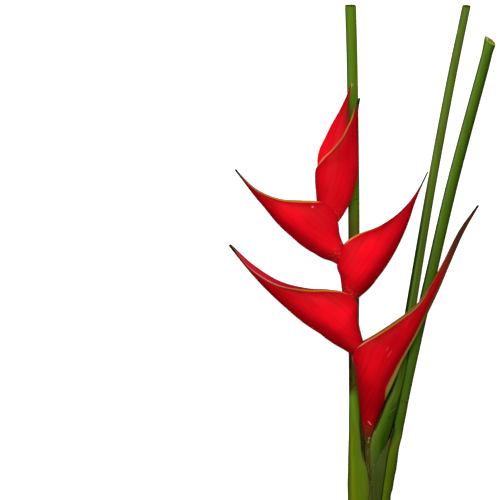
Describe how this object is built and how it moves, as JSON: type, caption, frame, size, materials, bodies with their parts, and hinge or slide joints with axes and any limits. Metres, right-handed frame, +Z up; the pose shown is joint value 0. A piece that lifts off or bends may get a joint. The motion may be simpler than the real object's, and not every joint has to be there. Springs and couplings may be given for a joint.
{
  "type": "heliconia flower",
  "caption": "Cut heliconia inflorescence with boat-shaped bracts on a zigzag axis and the bare stalks of its leaves, lying flat.",
  "frame": {"origin": "centre of the bounding box in plan, on the surface that the flower lies on", "axes": "+Y runs along the stem from the cut end to the tips of the leaf stalks, +Z is up from the surface, and the pictured side faces +Z"},
  "size_m": [0.2701, 0.6076, 0.0401],
  "materials": {
    "bract_red": "waxy satin, scarlet with gold margins and dark tips",
    "stalk_olive": "matt olive brown",
    "leaf_green": "waxy satin green with fine ribs"
  },
  "bodies": {
    "root": {"bract_1": "bract_red", "bract_2": "bract_red", "bract_3": "bract_red", "bract_4": "bract_red", "bract_5": "bract_red", "bract_6": "bract_red", "flower_stalk": "stalk_olive", "leaf_stalk_left": "leaf_green", "leaf_stalk_inner": "leaf_green", "leaf_stalk_right": "leaf_green"}
  },
  "joints": []
}
